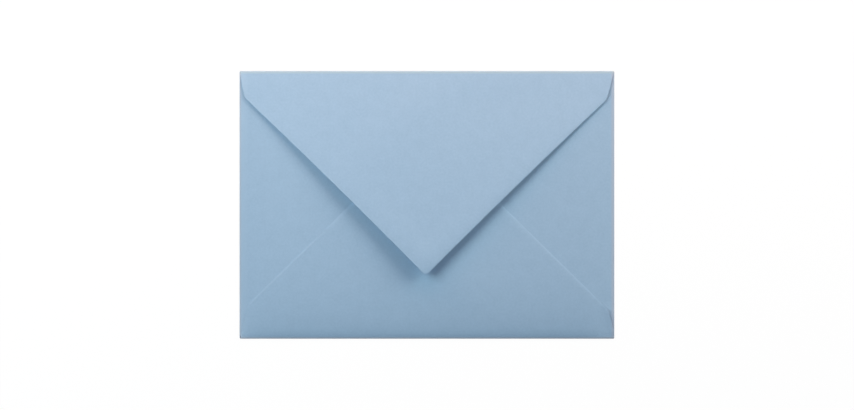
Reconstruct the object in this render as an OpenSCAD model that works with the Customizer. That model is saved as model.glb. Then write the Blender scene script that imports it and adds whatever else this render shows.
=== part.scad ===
// Paper envelope with a pointed flap, lying face down with its back up.
// One die-cut sheet, folded four times: the side flaps first, then the bottom flap, glued over them,
// and last the top flap, which isn't sealed and springs a little open.
// Origin in the middle of the footprint, on the surface that the front panel lies on.
// +X to the right as the back is seen, +Y to the top fold, +Z up out of the back.

/* [Envelope] */
// Width of the closed envelope, along the top fold
envelope_w = 175; // [150:1:230]
// Height of the closed envelope, from the bottom fold to the top fold
envelope_h = 125; // [110:1:165]

/* [Paper] */
// Thickness of the paper
paper_t = 0.16; // [0.1:0.01:0.25]
// Air between the front panel and the side flaps
pocket_gap = 0.6; // [0.4:0.05:1.2]
// Air between the side flaps and the top flap, at the top fold
flap_clearance = 0.15; // [0.1:0.05:0.5]
// Distance from a fold to where the cut of the flap beside it starts
corner_relief = 0.4; // [0.2:0.1:1.5]

/* [Top flap] */
// Depth from the top fold to the point where the two slanting edges would meet
top_depth = 95.3; // [75:0.1:105]
// Depth of the shoulders, from the top fold to where the slanting edges start
top_shoulder = 13.3; // [8:0.1:20]
// How far the shoulders step in from the sides
top_inset = 3.5; // [1.5:0.1:8]
// Corner radius of the shoulders
top_shoulder_r = 7; // [2:0.5:12]
// Radius of the tip
top_tip_r = 2.4; // [0.5:0.1:6]
// How far the slanting edges are hollowed in their middle
top_hollow = 0.5; // [0:0.1:1.5]
// Height that the tip has sprung open
flap_lift = 8; // [3:0.5:14]
// Rise of the flap's middle over a straight line from the fold to the tip
flap_bow = 0.8; // [0.1:0.1:2]

/* [Bottom flap] */
// Depth from the bottom fold to the point where the two slanting edges would meet
bottom_depth = 96; // [80:0.5:105]
// Depth of the shoulders, from the bottom fold to where the slanting edges start
bottom_shoulder = 15.4; // [8:0.1:20]
// How far the flap stands in from the sides at the bottom fold
bottom_fold_inset = 0.4; // [0.2:0.1:1.4]
// How far the shoulders step in from the sides
bottom_inset = 3.9; // [1.5:0.1:8]
// Corner radius of the shoulders
bottom_shoulder_r = 5; // [2:0.5:12]
// Radius of the tip
bottom_tip_r = 9; // [3:0.5:16]

/* [Side flaps] */
// Space between the round noses of the two side flaps
nose_gap = 12; // [6:1:30]
// How far past the middle of the envelope the two straight edges of a side flap would meet
nose_reach = 7; // [3:1:15]
// Height over the bottom fold at which they would meet
nose_height = 80; // [60:1:90]

/* [Hidden] */

paper_color = [0.64, 0.74, 0.83];

// Straights that stand in for the curve of a fold, of the open flap and of a hollowed edge
fold_steps = 20;
bow_steps = 8;
hollow_steps = 8;
// Turn from one straight to the next round a corner of an outline
corner_turn = 9;
// Distance that the cutting shapes run past the paper
past = 20;

half_w = envelope_w / 2;
half_h = envelope_h / 2;

// Heights of the undersides of the three layers on the back
side_z = paper_t + pocket_gap;
bottom_z = side_z + paper_t;
top_z = side_z + paper_t + flap_clearance;

// Straight edges of the front panel, where its paper starts to bend into each fold
side_edge = half_w - (side_z + paper_t) / 2;
bottom_edge = half_h - (bottom_z + paper_t) / 2;
top_edge = half_h - (top_z + paper_t) / 2;

// The open top flap is an arc over a chord that climbs from the fold to the tip
chord = norm([top_depth, flap_lift]);
bow_r = (chord * chord / 4 + flap_bow * flap_bow) / (2 * flap_bow);
bow_turn = 2 * asin(chord / 2 / bow_r);
flap_slope = asin(flap_lift / chord) + bow_turn / 2;

// Where the cuts of the right side flap start, and where they would meet
cut_low = corner_relief - bottom_edge;
cut_high = top_edge - corner_relief;
nose = [-nose_reach, nose_height - half_h];
nose_up = atan2(cut_high - nose[1], half_w - nose[0]);
nose_down = atan2(nose[1] - cut_low, half_w - nose[0]);
nose_half = (nose_up + nose_down) / 2;
nose_tilt = (nose_up - nose_down) / 2;
// Radius that leaves half of the gap between the nose and the middle of the envelope
nose_r = (nose_reach + nose_gap / 2) / (cos(nose_tilt) / sin(nose_half) - 1);

function heading(a) = [cos(a), sin(a)];
function unit(v) = v / norm(v);
function turned(v, a) = [v[0] * cos(a) - v[1] * sin(a), v[0] * sin(a) + v[1] * cos(a)];
function tail(list) = [for (i = [1 : 1 : len(list) - 1]) list[i]];
function arc_length(r, turn) = r * turn * PI / 180;

// Where a length of paper ends that starts at p in direction a and bends through turn on its way
function run_on(p, a, length, turn) =
    p + length * (turn == 0 ? 1 : sin(turn / 2) / arc_length(1, turn / 2)) * heading(a + turn / 2);

// Middle line of a strip of paper seen edge on, as [point, direction] pairs.
// It starts at p in direction a and follows the moves, each [length, turn, straights].
function middle_line(p, a, moves) =
    len(moves) == 0
        ? [[p, a]]
        : let (length = moves[0][0], turn = moves[0][1], n = moves[0][2])
          concat(
              [for (i = [0 : n - 1]) [run_on(p, a, length * i / n, turn * i / n), a + turn * i / n]],
              middle_line(run_on(p, a, length, turn), a + turn, tail(moves))
          );

// Arc of radius r in the corner at p, between its sides in directions u and v. Radius 0 is sharp.
function corner_arc(p, u, v, r) =
    let (
        half = acos(u * v) / 2,
        turn = (180 - 2 * half) * (cross(u, v) > 0 ? -1 : 1),
        n = max(1, round(abs(turn) / corner_turn)),
        centre = p + unit(u + v) * r / sin(half),
        start = p + u * r / tan(half)
    )
    r == 0 ? [p] : [for (i = [0 : n]) centre + turned(start - centre, turn * i / n)];

// Points of an outline with rounded corners, each given as [point, radius]
function rounded(corners) =
    let (count = len(corners))
    [
        for (i = [0 : count - 1])
            let (
                before = corners[(i + count - 1) % count][0],
                here = corners[i][0],
                after = corners[(i + 1) % count][0]
            )
            each corner_arc(here, unit(before - here), unit(after - here), corners[i][1])
    ];

// Corners along an edge from p to q that is hollowed by depth, to the left of the way along it
function hollowed(p, q, depth) = [
    for (i = [1 : hollow_steps - 1])
        let (s = i / hollow_steps)
        [p + (q - p) * s + turned(unit(q - p), 90) * 4 * depth * s * (1 - s), 0]
];

// Outline of a pointed flap with shoulders, its fold to the right at half_h and its tip to the left
function pointed_flap(fold_inset, shoulder, inset, shoulder_r, depth, tip_r, hollow) =
    let (
        fold_side = half_w - fold_inset,
        shoulder_side = half_w - inset,
        tip = [half_h - depth, 0]
    )
    rounded([
        [[half_h + past, -fold_side], 0],
        [[half_h + past, fold_side], 0],
        [[half_h, fold_side], 0],
        [[half_h - shoulder, shoulder_side], shoulder_r],
        each hollowed([half_h - shoulder, shoulder_side], tip, hollow),
        [tip, tip_r],
        each hollowed(tip, [half_h - shoulder, -shoulder_side], hollow),
        [[half_h - shoulder, -shoulder_side], shoulder_r],
        [[half_h, -fold_side], 0]
    ]);

// A strip of paper seen edge on: the middle line with the paper's thickness about it
module strip(start, moves) {
    line = middle_line(start, 0, moves);
    polygon([
        for (q = line) q[0] + heading(q[1] + 90) * paper_t / 2,
        for (i = [len(line) - 1 : -1 : 0]) line[i][0] - heading(line[i][1] + 90) * paper_t / 2
    ]);
}

// The paper beyond one straight edge of the front panel, folded over to the right of it.
// Up to the middle of the fold it is as long as the fold is, from span[0] to span[1],
// and from there on it is cut to the flap's outline. z is the height of the flap's underside.
module fold_over(edge, span, z, moves, outline) {
    fold_middle = (z + paper_t) / 2;
    intersection() {
        rotate([90, 0, 0])
            linear_extrude(2 * envelope_w, center = true)
                strip([edge, paper_t / 2], moves);
        union() {
            translate([0, 0, -past])
                linear_extrude(past + fold_middle)
                    polygon([
                        [0, span[0]], [edge + past, span[0]],
                        [edge + past, span[1]], [0, span[1]]
                    ]);
            translate([0, 0, fold_middle])
                linear_extrude(past)
                    polygon(outline);
        }
    }
}

// Front panel, between the four folds
module front_panel() {
    linear_extrude(paper_t)
        polygon([
            [-side_edge, -bottom_edge], [side_edge, -bottom_edge],
            [side_edge, top_edge], [-side_edge, top_edge]
        ]);
}

// Right side flap: a long triangle with a round nose that stops short of the middle
module side_flap() {
    fold_over(
        side_edge,
        [-bottom_edge, top_edge],
        side_z,
        [[arc_length(side_z / 2, 180), 180, fold_steps], [half_w, 0, 1]],
        rounded([
            [[half_w + past, cut_low], 0],
            [[half_w + past, cut_high], 0],
            [[half_w, cut_high], 0],
            [nose, nose_r],
            [[half_w, cut_low], 0]
        ])
    );
}

// Bottom flap: lies on the side flaps, glued to them face to face
module bottom_flap() {
    rotate([0, 0, -90])
        fold_over(
            bottom_edge,
            [-half_w, half_w],
            bottom_z,
            [[arc_length(bottom_z / 2, 180), 180, fold_steps], [bottom_depth, 0, 1]],
            pointed_flap(
                bottom_fold_inset, bottom_shoulder, bottom_inset, bottom_shoulder_r,
                bottom_depth, bottom_tip_r, 0
            )
        );
}

// Top flap: its fold stops short of half a turn, and the flap goes on in one shallow arc
module top_flap() {
    rotate([0, 0, 90])
        fold_over(
            top_edge,
            [-half_w, half_w],
            top_z,
            [
                [arc_length(top_z / 2, 180 - flap_slope), 180 - flap_slope, fold_steps],
                [arc_length(bow_r, bow_turn), bow_turn, bow_steps]
            ],
            pointed_flap(
                0, top_shoulder, top_inset, top_shoulder_r,
                top_depth, top_tip_r, top_hollow
            )
        );
}

// The whole sheet, as folded
module folded_sheet() {
    color(paper_color)
        union() {
            front_panel();
            side_flap();
            mirror([1, 0, 0])
                side_flap();
            bottom_flap();
            top_flap();
        }
}

folded_sheet();
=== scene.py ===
# A pale blue paper envelope with a pointed flap, unsealed, lying face down with its back up.
# Its sheet is cut out flat, creased and folded over, puffed a little and given its thickness last.
import math
import bmesh
import bpy
import numpy as np
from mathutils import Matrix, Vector


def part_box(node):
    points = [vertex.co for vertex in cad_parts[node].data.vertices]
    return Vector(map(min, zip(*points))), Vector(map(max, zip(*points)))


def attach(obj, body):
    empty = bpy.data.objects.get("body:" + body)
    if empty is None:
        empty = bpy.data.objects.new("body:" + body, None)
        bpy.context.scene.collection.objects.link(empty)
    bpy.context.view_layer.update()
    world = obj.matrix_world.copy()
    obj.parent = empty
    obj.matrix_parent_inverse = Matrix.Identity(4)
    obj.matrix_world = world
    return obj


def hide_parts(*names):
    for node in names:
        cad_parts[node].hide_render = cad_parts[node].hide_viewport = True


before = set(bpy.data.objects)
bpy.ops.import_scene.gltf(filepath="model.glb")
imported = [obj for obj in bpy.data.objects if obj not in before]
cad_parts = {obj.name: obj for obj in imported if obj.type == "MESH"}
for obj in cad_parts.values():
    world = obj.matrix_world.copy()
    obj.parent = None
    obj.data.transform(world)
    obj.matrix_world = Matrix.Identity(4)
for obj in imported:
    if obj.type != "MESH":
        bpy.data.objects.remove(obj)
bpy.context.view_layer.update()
bpy.context.scene.view_settings.view_transform = "Standard"
mm = 0.001

# What the whole envelope measures comes from the folded sheet in model.glb, in mm
solidLow, solidHigh = (np.array(corner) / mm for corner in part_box("folded_sheet"))
halfWide = float(solidHigh[0] - solidLow[0]) / 2
halfHigh = float(solidHigh[1] - solidLow[1]) / 2

# All sizes in mm, angles in degrees
paper = {
    "thick": 0.16,          # 120 g/m2 wove
    "sideRadius": 0.22,     # folds, to the middle of the paper
    "topRadius": 0.3,
    "layerGap": 0.12,       # glue between the bottom flap and the side flaps
    "mesh": 2.5,            # between two mesh lines
    # mesh lines beside a fold, where the paper curves most
    "nearFold": (0.35, 0.75, 1.2, 1.8, 2.5, 3.4, 4.6, 6.2),
    "creases": 8,           # mesh steps round a fold
    "arcStep": 7,           # turn from one mesh line to the next round a corner of an outline
    "arcLeast": 3,          # and the fewest steps there
    "smoothUnder": 40,      # a turn from face to face that is less than this is smooth
    "pullOut": 200.0,       # how far past its fold each flap is pulled out before it is cut
    "offMiddle": 1.0,       # the middle of a panel edge is nearer than this to the envelope's middle line
    "samePlace": 0.001,     # two vertices this near to each other are one corner
    "weld": 0.0001,         # a vertex this near to a cut lies on it
}


def deselectAll():
    if bpy.context.mode != "OBJECT":
        bpy.ops.object.mode_set(mode="OBJECT")
    bpy.ops.object.select_all(action="DESELECT")


def pick(shape, kind, test):
    # selects in edit mode the vertices, edges or faces whose middle passes the test
    bpy.ops.mesh.select_mode(type=kind)
    bpy.ops.mesh.select_all(action="DESELECT")
    work = bmesh.from_edit_mesh(shape.data)
    if kind == "VERT":
        for vertex in work.verts:
            vertex.select_set(test(vertex.co))
    elif kind == "EDGE":
        for edge in work.edges:
            edge.select_set(test((edge.verts[0].co + edge.verts[1].co) / 2))
    else:
        for face in work.faces:
            face.select_set(test(face.calc_center_median()))
    work.select_flush_mode()
    bmesh.update_edit_mesh(shape.data)


# Folds of the sheet. start is where the paper begins to bend, from the middle of the envelope.
def makeFold(edge, radius, turn):
    return {
        "start": edge - radius - paper["thick"] / 2,
        "radius": radius,
        "turn": math.radians(turn),
    }


flap = {
    "slope": 6.9,           # how far the flap's fold stops short of half a turn
    "lift": 8.0,            # height of the tip over the fold
    "depth": 95.3,          # from the top fold to where the slanting edges would meet
    "tipAside": -0.57,      # the tip lies a little left of the middle
    # each shoulder is in from the side and down from the fold
    "leftShoulder": (2.55, 12.55),
    "rightShoulder": (3.6, 13.3),
    "leftRound": 3.0,
    "rightRound": 5.0,
    "tipRound": 2.4,
    "hollow": 0.5,          # the slanting edges are a little hollow
    "gumWidth": 14.0,       # the gummed band along the slanting edges
    "gumFlat": 4.5,         # its outer part, which is level again
    "gumCurl": (0.47, 0.4),     # how far it has curled up towards the tip, on the right and on the left
    "tipDrop": (0.6, 16.0),     # how far the tip bends down again, and over what length
    "margin": 2.2,          # outermost strip along the edges, pressed down by the knife
    "press": (0.2, 0.04),   # by so much, on the right and on the left
    "pressPower": 1.5,      # how much more of it there is at the very edge
    "sag": (0.42, 0.47),    # how far the shoulders hang lower than the middle, on the right and on the left
    "sagPower": 4,          # how much more they hang near the sides
    "ripple": 0.055,        # steepness of the waves across the flap, which widen to the right
    "rippleAt": (-36.7, 39.7),  # where the first wave falls off most
    "rippleWay": -40.0,     # direction in which the waves follow each other
    "rippleFirst": 10.0,    # length of the first half wave, and each one after is twice as long
    "rippleLeast": 0.2,     # how narrow the waves before it may get, next to it
    "rippleFade": 60.0,     # the waves die away over this length
}
bottom = {
    # folded a little askew: each place is in from the side and up from the fold
    "leftStart": (0.3, 0.0),
    "leftShoulder": (4.0, 16.1),
    "rightShoulder": (3.0, 13.6),
    "rightStart": (0.0, 2.8),
    "tipAside": -0.16,
    "depth": 96.8,          # from the fold to where the slanting edges would meet
    "shoulderRound": 2.5,
    "tipRound": 9.0,
    # how far down the glue draws its margins, and how wide they are
    "margins": ((0.14, 0.7), (0.14, 0.7), (0.1, 0.7)),      # left shoulder, left and right slanting edge
    "standOff": (0.62, 4.5),        # the right shoulder has missed the glue: rise, and how wide
    "runIn": 3.0,           # both begin over this length from the fold
}
side = {
    "relief": 0.1,          # the cuts start this far from the neighbouring folds
    "noseAcross": 7.0,      # the straight edges would meet this far past the middle
    "noseUp": 80.0,         # and this far over the bottom fold
    "noseRound": 17.0,
}
puff = {
    "bottomSteep": (0.38, 1.8),     # steep rise of the back from the bottom fold, and its reach
    "bottomLong": (2.1, 13.0),      # the long gentle rise that is added to it
    "steepSideReach": (7.0, 1.5),   # the steep rise grows from the sides with these: right and left
    "sideReach": 7.0,               # and the gentle one with this
    "topReach": 27.0,               # and both from the top fold
    "bulge": 0.3,                   # a soft bulge low down on the bottom flap
    "bulgeAt": (18.0, -37.0),
    "bulgeReach": 12.0,
}

bottomRadius = paper["sideRadius"] + (paper["thick"] + paper["layerGap"]) / 2
sideFold = makeFold(halfWide, paper["sideRadius"], 180)
bottomFold = makeFold(halfHigh, bottomRadius, 180)
topFold = makeFold(halfHigh, paper["topRadius"], 180 - flap["slope"])


def foldMiddle(fold):
    return fold["start"] + fold["radius"] * fold["turn"] / 2


def alongSheet(fold, reach):
    # place on the flat sheet of what lies that far from the middle on the folded flap
    stretch = math.cos(math.radians(180) - fold["turn"])
    return fold["start"] + fold["radius"] * fold["turn"] + (fold["start"] - reach) / stretch


def topFlapAt(down):
    # place on the flat sheet of what lies that far down from the top edge on the folded top flap
    return alongSheet(topFold, halfHigh - down)


def bottomFlapAt(up):
    return -alongSheet(bottomFold, halfHigh - up)


def inFrom(sign, place, flapAt):
    # place on the flat sheet of what is in from the right or the left side and along from the fold
    return (sign * (halfWide - place[0]), flapAt(place[1]))


# Outlines on the flat sheet, anticlockwise, each corner with its radius
topOutline = [
    (inFrom(1, (0, 0), topFlapAt), 0),
    (inFrom(1, flap["rightShoulder"], topFlapAt), flap["rightRound"]),
    ((flap["tipAside"], topFlapAt(flap["depth"])), flap["tipRound"]),
    (inFrom(-1, flap["leftShoulder"], topFlapAt), flap["leftRound"]),
    (inFrom(-1, (0, 0), topFlapAt), 0),
]
bottomOutline = [
    (inFrom(-1, bottom["leftStart"], bottomFlapAt), 0),
    (inFrom(-1, bottom["leftShoulder"], bottomFlapAt), bottom["shoulderRound"]),
    ((bottom["tipAside"], bottomFlapAt(bottom["depth"])), bottom["tipRound"]),
    (inFrom(1, bottom["rightShoulder"], bottomFlapAt), bottom["shoulderRound"]),
    (inFrom(1, bottom["rightStart"], bottomFlapAt), 0),
]
noseReach = alongSheet(sideFold, -side["noseAcross"])
sideOutline = [
    ((foldMiddle(sideFold), side["relief"] - bottomFold["start"]), 0),
    ((noseReach, side["noseUp"] - halfHigh), side["noseRound"]),
    ((foldMiddle(sideFold), topFold["start"] - side["relief"]), 0),
]


def inwardFrom(start, end, u, v):
    # how far places on the flat sheet lie to the left of the way from start to end
    along = (end[0] - start[0], end[1] - start[1])
    return (along[0] * (v - start[1]) - along[1] * (u - start[0])) / math.hypot(*along)


def meshLines(low, high):
    # even lines over the panel, and closer ones beside the folds at both ends
    near = paper["nearFold"]
    inner = high - low - 2 * near[-1]
    even = np.linspace(low + near[-1], high - near[-1], round(inner / paper["mesh"]) + 1)
    return [low + step for step in near[:-1]] + list(even) + [high - step for step in near[:-1]]


def cutOff(shape, onFlap, start, end):
    # cuts the flap from start to end, two places on the flat sheet, and drops what lies left of the way
    way = (Vector(end) - Vector(start)).normalized()
    left = Vector((-way.y, way.x, 0))
    begin = Vector((*start, 0))
    pick(shape, "FACE", onFlap)
    bpy.ops.mesh.bisect(plane_co=begin, plane_no=left, threshold=paper["weld"])
    pick(shape, "FACE", lambda place: onFlap(place) and (place - begin).dot(left) > 0)
    bpy.ops.mesh.delete(type="FACE")


def roundCorner(shape, corner, radius, turn):
    # rounds the vertex nearest to a place on the flat sheet, where the outline turns by that angle
    spot = Vector((*corner, 0))
    work = bmesh.from_edit_mesh(shape.data)
    nearest = min((vertex.co - spot).length for vertex in work.verts)
    pick(shape, "VERT", lambda place: (place - spot).length < nearest + paper["samePlace"])
    steps = max(paper["arcLeast"], round(turn / paper["arcStep"]))
    bpy.ops.mesh.bevel(offset=radius * math.tan(math.radians(turn) / 2), segments=steps, affect="VERTICES")


def turnBetween(before, corner, after):
    first = Vector(corner) - Vector(before)
    second = Vector(after) - Vector(corner)
    return math.degrees(first.angle(second))


def cutOutline(shape, onFlap, points):
    # cuts a flap to a row of places on the flat sheet, each (place, radius), anticlockwise round the flap
    places = [place for place, radius in points]
    for start, end in zip(places[:-1], places[1:]):
        cutOff(shape, onFlap, end, start)
    for i in range(1, len(points) - 1):
        roundCorner(shape, places[i], points[i][1], turnBetween(*places[i - 1:i + 2]))


def cutSheet():
    deselectAll()
    panelHigh = topFold["start"] + bottomFold["start"]
    bpy.ops.mesh.primitive_plane_add(size=1)
    shape = bpy.context.object
    shape.name = "foldedPaper"
    bpy.ops.object.mode_set(mode="EDIT")
    bpy.ops.transform.resize(value=(2 * sideFold["start"], panelHigh, 1))
    bpy.ops.transform.translate(value=(0, topFold["start"] - panelHigh / 2, 0))
    # each flap is pulled out of the panel's edge as far as the middle of its fold, and then on
    for fold, way in ((sideFold, (1, 0)), (sideFold, (-1, 0)), (topFold, (0, 1)), (bottomFold, (0, -1))):
        middle = Vector((way[0] * fold["start"], way[1] * fold["start"], 0))
        pick(shape, "EDGE", lambda place: (place - middle).length < paper["offMiddle"])
        for pull in (foldMiddle(fold) - fold["start"], paper["pullOut"]):
            shift = (way[0] * pull, way[1] * pull, 0)
            bpy.ops.mesh.extrude_edges_move(TRANSFORM_OT_translate={"value": shift})
    return shape


def onTop(place):
    return place.y > foldMiddle(topFold)


def onBottom(place):
    return place.y < -foldMiddle(bottomFold)


def trimFlaps(shape):
    for sign in (1, -1):
        row = [((sign * place[0], place[1]), radius) for place, radius in sideOutline]
        cutOutline(shape, lambda place: place.x * sign > foldMiddle(sideFold), row[::sign])
    cutOutline(shape, onBottom, bottomOutline)
    cutOutline(shape, onTop, topOutline)
    # two mesh lines along each margin that is bent: the flap, its outline, the edge and the margin
    bent = [(onBottom, bottomOutline, corner, strip[1]) for corner, strip in enumerate(bottom["margins"])]
    bent.append((onBottom, bottomOutline, 3, bottom["standOff"][1]))
    bent.append((onTop, topOutline, 1, flap["margin"]))
    for onFlap, outline, corner, margin in bent:
        start, end = Vector(outline[corner][0]), Vector(outline[corner + 1][0])
        way = (end - start).normalized()
        left = Vector((-way.y, way.x, 0))
        for share in (0.5, 1):
            pick(shape, "FACE", onFlap)
            begin = Vector((*start, 0)) + left * margin * share
            bpy.ops.mesh.bisect(plane_co=begin, plane_no=left, threshold=paper["weld"])


def layMeshLines(shape):
    # mesh lines at the same places on every layer, so that layers that touch bend alike
    across = meshLines(-sideFold["start"], sideFold["start"])
    upward = meshLines(-bottomFold["start"], topFold["start"])
    linesX = list(across)
    linesY = list(upward)
    for i in range(1, paper["creases"] + 1):
        part = i / paper["creases"]
        bend = sideFold["start"] + sideFold["radius"] * sideFold["turn"] * part
        linesX += [bend, -bend]
        linesY.append(topFold["start"] + topFold["radius"] * topFold["turn"] * part)
        linesY.append(-bottomFold["start"] - bottomFold["radius"] * bottomFold["turn"] * part)
    for place in across:
        linesX += [alongSheet(sideFold, place), -alongSheet(sideFold, place)]
    for place in upward:
        linesY += [alongSheet(topFold, place), -alongSheet(bottomFold, -place)]
    for lines, normal in ((linesX, (1, 0, 0)), (linesY, (0, 1, 0))):
        for place in lines:
            bpy.ops.mesh.select_all(action="SELECT")
            on = [n * place for n in normal]
            bpy.ops.mesh.bisect(plane_co=on, plane_no=normal, threshold=paper["weld"])


def keepFlatPlaces(shape):
    # every vertex remembers where it lay on the flat sheet, in mm
    bpy.ops.object.mode_set(mode="OBJECT")
    places = np.zeros(len(shape.data.vertices) * 3)
    shape.data.vertices.foreach_get("co", places)
    kept = shape.data.attributes.new("flatSheet", "FLOAT_VECTOR", "POINT")
    kept.data.foreach_set("vector", places)
    bpy.ops.object.mode_set(mode="EDIT")


def foldOver(shape, fold, way):
    # turns all that lies past an edge of the panel over, a few degrees at each crease
    step = fold["radius"] * fold["turn"] / paper["creases"]
    out, high, heading = fold["start"], 0.0, 0.0
    for line in range(paper["creases"] + 1):
        # the first and the last crease have a step on one side only, so they turn half as far
        bend = fold["turn"] / paper["creases"] * (0.5 if line in (0, paper["creases"]) else 1)
        past = fold["start"] + line * step + step / 4       # the crease itself stays where it is
        bpy.ops.mesh.select_mode(type="VERT")
        bpy.ops.mesh.select_all(action="DESELECT")
        work = bmesh.from_edit_mesh(shape.data)
        flat = work.verts.layers.float_vector["flatSheet"]
        for vertex in work.verts:
            vertex.select_set(vertex[flat].x * way[0] + vertex[flat].y * way[1] > past)
        work.select_flush_mode()
        bmesh.update_edit_mesh(shape.data)
        bpy.ops.transform.rotate(
            value=bend * (way[0] - way[1]), orient_axis="Y" if way[0] else "X",
            center_override=(way[0] * out, way[1] * out, high)
        )
        heading += bend
        out += step * math.cos(heading)
        high += step * math.sin(heading)


def settle(far, rise, reach):
    # a rise that starts at once and levels off
    return rise * (1 - np.exp(-np.maximum(far, 0) / reach))


def backHeight(x, y):
    # how far the two glued layers of the back stand off the front panel
    fromBottom = y + bottomFold["start"]
    fromTop = topFold["start"] - y
    fromSide = sideFold["start"] - np.abs(x)
    sharp = settle(fromBottom, *puff["bottomSteep"])
    sharp *= settle(fromSide, 1, np.where(x > 0, *puff["steepSideReach"]))
    gentle = settle(fromBottom, *puff["bottomLong"]) * settle(fromSide, 1, puff["sideReach"])
    over = (sharp + gentle) * settle(fromTop, 1, puff["topReach"])
    away = np.hypot(x - puff["bulgeAt"][0], y - puff["bulgeAt"][1])
    return over + puff["bulge"] * np.exp(-(away / puff["bulgeReach"]) ** 2)


def shapeBack(places, u, v):
    # places are on the folded sheet, u and v are where they lay on the flat one
    onBack = (np.abs(u) > sideFold["start"]) | (v < -bottomFold["start"])
    places[:, 2] += np.where(onBack, backHeight(places[:, 0], places[:, 1]), 0)
    # the glue draws the bottom flap's margins down, and has missed its right shoulder
    ends = [place for place, radius in bottomOutline]
    begun = np.clip((-foldMiddle(bottomFold) - v) / bottom["runIn"], 0, 1)
    for start, end, (drawn, margin) in zip(ends, ends[1:], bottom["margins"]):
        near = np.clip(1 - inwardFrom(start, end, u, v) / margin, 0, 1)
        places[:, 2] -= drawn * near * begun
    rise, margin = bottom["standOff"]
    near = np.clip(1 - inwardFrom(ends[3], ends[4], u, v) / margin, 0, 1)
    places[:, 2] += rise * near ** 2 * begun


def shapeFlap(places, u, v):
    x, y = places[:, 0], places[:, 1]
    # the open flap bends down a little from its fold on
    far = np.maximum(v - topFold["start"] - topFold["radius"] * topFold["turn"], 0)
    steep = math.tan(math.radians(flap["slope"]))
    bow = (steep * flap["depth"] - flap["lift"]) / flap["depth"] ** 2
    places[:, 2] -= bow * far ** 2
    # its gummed bands curl up, its edges are pressed down, its shoulders sag and its tip bends down
    shoulderIn, shoulderDown = flap["rightShoulder"]
    shoulderAt = halfWide - shoulderIn
    run = flap["depth"] - shoulderDown
    toTip = np.clip((far - shoulderDown) / run, 0, 1)
    begun = np.where(v > topFold["start"], np.minimum(far / shoulderDown, 1) ** 2, 0)
    ends = [place for place, radius in topOutline]
    for start, end, curl, press in zip(ends[1:3], ends[2:4], flap["gumCurl"], flap["press"]):
        inward = inwardFrom(start, end, u, v)
        risen = np.clip((flap["gumWidth"] - inward) / (flap["gumWidth"] - flap["gumFlat"]), 0, 1)
        places[:, 2] += curl * toTip * risen ** 2 * (3 - 2 * risen)
        places[:, 2] -= press * begun * np.clip(1 - inward / flap["margin"], 0, 1) ** flap["pressPower"]
    sag = np.where(x > 0, *flap["sag"])
    places[:, 2] -= sag * begun * (1 - toTip) ** 2 * (x / halfWide) ** flap["sagPower"]
    drop, length = flap["tipDrop"]
    places[:, 2] -= drop * np.maximum(1 - (flap["depth"] - far) / length, 0) ** 2
    # waves cross it, each twice as long as the one before
    way = math.radians(flap["rippleWay"])
    past = (x - flap["rippleAt"][0]) * math.cos(way) + (y - flap["rippleAt"][1]) * math.sin(way)
    spread = np.maximum(1 + past / flap["rippleFirst"], flap["rippleLeast"])
    pace = math.pi / math.log(2)
    phase = pace * np.log(spread)
    turning = (np.cos(phase) + pace * np.sin(phase)) / (1 + pace ** 2)
    wave = -flap["rippleFirst"] * flap["ripple"] * spread * turning
    places[:, 2] += wave * np.exp(-np.maximum(past, 0) / flap["rippleFade"]) * begun * (1 - toTip)
    # and its slanting edges are a little hollow
    places[:, 0] -= 4 * flap["hollow"] * np.hypot(shoulderAt, run) / run * toTip * x / shoulderAt


def shapeByHand(shape):
    bpy.ops.object.mode_set(mode="OBJECT")
    count = len(shape.data.vertices)
    places = np.zeros(count * 3)
    flats = np.zeros(count * 3)
    shape.data.vertices.foreach_get("co", places)
    shape.data.attributes["flatSheet"].data.foreach_get("vector", flats)
    places = places.reshape(-1, 3)
    u, v = flats.reshape(-1, 3)[:, 0], flats.reshape(-1, 3)[:, 1]
    shapeBack(places, u, v)
    shapeFlap(places, u, v)
    places[:, 2] += paper["thick"] / 2
    shape.data.vertices.foreach_set("co", places.ravel())
    shape.data.update()


def giveThickness(shape):
    bpy.ops.object.modifier_add(type="SOLIDIFY")
    wall = shape.modifiers[-1]
    wall.thickness = paper["thick"]
    wall.offset = 0
    wall.use_even_offset = True
    wall.material_offset_rim = 1
    bpy.ops.object.modifier_apply(modifier=wall.name)
    shape.scale = (mm, mm, mm)
    bpy.ops.object.transform_apply(scale=True)
    bpy.ops.object.shade_smooth_by_angle(angle=math.radians(paper["smoothUnder"]))


def toLinear(hexColour):
    channels = [int(hexColour[i:i + 2], 16) / 255 for i in (1, 3, 5)]
    return tuple(c / 12.92 if c <= 0.04045 else ((c + 0.055) / 1.055) ** 2.4 for c in channels) + (1.0,)


def addNode(tree, kind, settings=None, links=None):
    # adds a node, sets its properties or inputs by name, and links other nodes' outputs to its inputs
    added = tree.nodes.new(kind)
    for name, value in (settings or {}).items():
        if isinstance(name, int) or name in added.inputs:
            added.inputs[name].default_value = value
        else:
            setattr(added, name, value)
    for name, source in (links or {}).items():
        tree.links.new(source, added.inputs[name])
    return added


def newMaterial(name):
    made = bpy.data.materials.new(name)
    made.use_nodes = True
    made.node_tree.nodes.clear()
    return made, made.node_tree


finish = {
    "dark": "#97B5CE",
    "pale": "#AAC8E0",
    "cloudWide": 5.0,       # mm across a cloud of the formation
    "grainWide": 1.1,       # mm across a clump of fibres, which themselves are too fine to show
    "grainShare": 0.6,      # of the tone; the rest is cloud
    "toothDeep": 0.05,      # mm from the hollows to the tops of its surface
    "toothStrength": 0.12,  # and how much of that the light finds
    "rubbedAndLit": 0.6,          # how much of a fold's own colour gives way to the paler, greyer look: partly rubbed fibres, partly painted light
    # the cut edges' colour: paler partly for torn fibres, partly as a painted highlight
    "cut": "#B4CADC",
}
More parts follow.
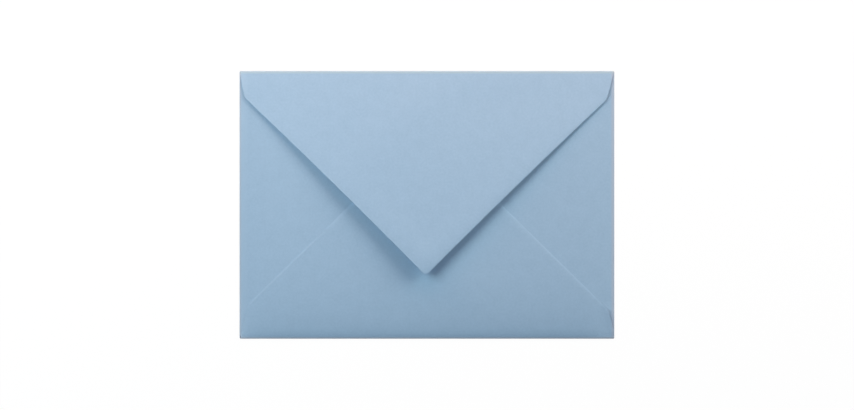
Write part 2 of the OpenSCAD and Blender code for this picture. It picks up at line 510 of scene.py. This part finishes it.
# Axis on the flat sheet, fold and side, how far from its middle the paper is paler and greyer and how
# softly that ends, in mm, and what it looks like there. These strips are partly rubbed fibres and partly
# painted light that the rounded folds catch from the white table.
foldWearAndLight = (
    ("X", sideFold, 1, 1.4, 0.3, "#B4BECC"),
    # the wide pale band along the left fold is a painted highlight: the back there is tilted towards the
    # left lamp and lit more
    ("X", sideFold, -1, 2.5, 2.0, "#AFCAE0"),
    ("X", sideFold, -1, 0.8, 0.3, "#B4BECC"),
    ("Y", topFold, 1, 1.3, 0.3, "#B2C6CE"),
    ("Y", bottomFold, -1, 1.0, 0.3, "#B4BECC"),
)


def wovePaper():
    # uncoated wove paper, dyed in the pulp and lightly calendered: matte, with a soft cloudy formation
    made, tree = newMaterial("dyedWovePaper")
    sheetAt = addNode(tree, "ShaderNodeAttribute", {"attribute_name": "flatSheet"}).outputs["Vector"]
    cloud = addNode(tree, "ShaderNodeTexNoise", {"Scale": 1 / finish["cloudWide"], "Detail": 3.0},
                    {"Vector": sheetAt})
    grain = addNode(tree, "ShaderNodeTexNoise", {"Scale": 1 / finish["grainWide"], "Detail": 2.0},
                    {"Vector": sheetAt})
    tone = addNode(tree, "ShaderNodeMix", {"data_type": "FLOAT", 0: finish["grainShare"]},
                   {2: cloud.outputs["Fac"], 3: grain.outputs["Fac"]})
    colour = addNode(tree, "ShaderNodeMix",
                     {"data_type": "RGBA", 6: toLinear(finish["dark"]), 7: toLinear(finish["pale"])},
                     {0: tone.outputs[0]})
    # beside each fold the paper is painted paler and greyer: partly cracked dyed fibres, partly painted
    # light caught by the folds, and on the left a wide painted highlight
    across = addNode(tree, "ShaderNodeSeparateXYZ", None, {0: sheetAt})
    for axis, fold, sign, paleReach, soft, look in foldWearAndLight:
        off = addNode(tree, "ShaderNodeMath", {"operation": "SUBTRACT", 1: sign * foldMiddle(fold)},
                      {0: across.outputs[axis]})
        far = addNode(tree, "ShaderNodeMath", {"operation": "ABSOLUTE"}, {0: off.outputs[0]})
        ends = {"From Min": paleReach - soft, "From Max": paleReach + soft, "To Min": finish["rubbedAndLit"], "To Max": 0.0}
        rubbedAndLit = addNode(tree, "ShaderNodeMapRange", ends, {"Value": far.outputs[0]})
        colour = addNode(tree, "ShaderNodeMix", {"data_type": "RGBA", 7: toLinear(look)},
                         {0: rubbedAndLit.outputs[0], 6: colour.outputs[2]})
    bump = addNode(tree, "ShaderNodeBump",
                   {"Strength": finish["toothStrength"], "Distance": finish["toothDeep"] * mm},
                   {"Height": grain.outputs["Fac"]})
    skin = addNode(tree, "ShaderNodeBsdfPrincipled", {"Roughness": 0.85, "Specular IOR Level": 0.3},
                   {"Base Color": colour.outputs[2], "Normal": bump.outputs["Normal"]})
    addNode(tree, "ShaderNodeOutputMaterial", None, {"Surface": skin.outputs["BSDF"]})
    return made


def cutEdge():
    # the knife's edge through the sheet: a little paler than the calendered faces, partly for its torn
    # fibre ends and partly as a painted highlight, so that the seams show as light lines
    made, tree = newMaterial("cutPaperEdge")
    skin = addNode(tree, "ShaderNodeBsdfPrincipled",
                   {"Base Color": toLinear(finish["cut"]), "Roughness": 0.95, "Specular IOR Level": 0.2})
    addNode(tree, "ShaderNodeOutputMaterial", None, {"Surface": skin.outputs["BSDF"]})
    return made


print("cutting the sheet")
envelope = cutSheet()
trimFlaps(envelope)
layMeshLines(envelope)
keepFlatPlaces(envelope)
print("folding", len(envelope.data.vertices), "vertices")
foldOver(envelope, sideFold, (1, 0))
foldOver(envelope, sideFold, (-1, 0))
foldOver(envelope, bottomFold, (0, -1))
foldOver(envelope, topFold, (0, 1))
print("puffing the back and bending the flaps")
shapeByHand(envelope)
envelope.data.materials.append(wovePaper())
envelope.data.materials.append(cutEdge())
giveThickness(envelope)
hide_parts("folded_sheet")
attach(envelope, "root")

print("table, light and camera")
studio = {
    "floor": 6.0,           # metres across
    "floorPlain": 0.8,      # share of the light that it throws back to the envelope
    "floorFaint": 0.06,     # share of it that the camera sees, so that a shadow shows
    "floorWhite": 0.95,     # and what the camera sees besides
    # soft boxes: direction and height in degrees, distance and size in metres, share of full light
    "lamps": {
        "leftBox": {
            "way": 154, "high": 49, "far": 0.6, "size": (0.42, 0.42),
            "share": 0.508, "colour": "#F0FFFE",
        },
        "rightBox": {
            "way": 31, "high": 27, "far": 0.85, "size": (0.51, 0.51),
            "share": 0.294, "colour": "#FAFFF8",
        },
        "warmWall": {
            "way": 90, "high": 20, "far": 0.45, "size": (0.9, 0.3),
            "share": 0.319, "colour": "#FFBDA6",
        },
        "coolCeiling": {
            "way": 270, "high": 78, "far": 0.6, "size": (0.3, 0.3),
            "share": 0.04, "colour": "#63AAFF",
        },
    },
    "sky": 0.05,
    "skyColour": "#6F9AFF",
    "lens": 85.0,           # and the sensor, mm
    "sensor": 36.0,
    "aim": (0.00003, -0.0001),      # metres, where the camera looks straight down
    "viewWide": 0.3990,     # metres across the picture
}


def grey(share):
    return (share, share, share, 1)


def addFloor():
    deselectAll()
    bpy.ops.mesh.primitive_plane_add(size=studio["floor"])
    floor = bpy.context.object
    floor.name = "floor"
    made, tree = newMaterial("paleTable")
    # seen by the camera it is white, and darkens a little in a shadow; the light it throws back is plain
    eye = addNode(tree, "ShaderNodeLightPath")
    seen = addNode(tree, "ShaderNodeMath", {"operation": "MAXIMUM"},
                   {0: eye.outputs["Is Camera Ray"], 1: eye.outputs["Is Glossy Ray"]})
    plain = addNode(tree, "ShaderNodeBsdfDiffuse", {"Color": grey(studio["floorPlain"])})
    faint = addNode(tree, "ShaderNodeBsdfDiffuse", {"Color": grey(studio["floorFaint"])})
    white = addNode(tree, "ShaderNodeEmission", {"Color": grey(1), "Strength": studio["floorWhite"]})
    both = addNode(tree, "ShaderNodeAddShader", None, {0: faint.outputs[0], 1: white.outputs[0]})
    mixed = addNode(tree, "ShaderNodeMixShader", None,
                    {0: seen.outputs[0], 1: plain.outputs[0], 2: both.outputs[0]})
    addNode(tree, "ShaderNodeOutputMaterial", None, {"Surface": mixed.outputs[0]})
    floor.data.materials.append(made)


def addLamp(name, lamp):
    way, high = math.radians(lamp["way"]), math.radians(lamp["high"])
    toward = Vector((math.cos(high) * math.cos(way), math.cos(high) * math.sin(way), math.sin(high)))
    bpy.ops.object.light_add(type="AREA", location=toward * lamp["far"])
    added = bpy.context.object
    added.name = name
    added.rotation_euler = toward.to_track_quat("Z", "Y").to_euler()
    added.data.shape = "ELLIPSE"
    added.data.size, added.data.size_y = lamp["size"]
    # a white sheet lying flat gets this share of full light
    added.data.energy = lamp["share"] * math.pi ** 2 * lamp["far"] ** 2 / math.sin(high)
    added.data.color = toLinear(lamp["colour"])[:3]


def addSky():
    world = bpy.data.worlds.new("studioSky")
    bpy.context.scene.world = world
    world.use_nodes = True
    tree = world.node_tree
    tree.nodes.clear()
    # a faint cool light from all round, and plain white where the camera sees past the floor
    eye = addNode(tree, "ShaderNodeLightPath")
    light = addNode(tree, "ShaderNodeBackground",
                    {"Color": toLinear(studio["skyColour"]), "Strength": studio["sky"]})
    white = addNode(tree, "ShaderNodeBackground", {"Color": grey(1), "Strength": 1.0})
    mixed = addNode(tree, "ShaderNodeMixShader", None,
                    {0: eye.outputs["Is Camera Ray"], 1: light.outputs[0], 2: white.outputs[0]})
    addNode(tree, "ShaderNodeOutputWorld", None, {"Surface": mixed.outputs[0]})


def addCamera():
    distance = studio["viewWide"] * studio["lens"] / studio["sensor"]
    bpy.ops.object.camera_add(location=(*studio["aim"], distance), rotation=(0, 0, 0))
    camera = bpy.context.object
    camera.data.lens = studio["lens"]
    camera.data.sensor_width = studio["sensor"]
    bpy.context.scene.camera = camera


addFloor()
for name, lamp in studio["lamps"].items():
    addLamp(name, lamp)
addSky()
addCamera()
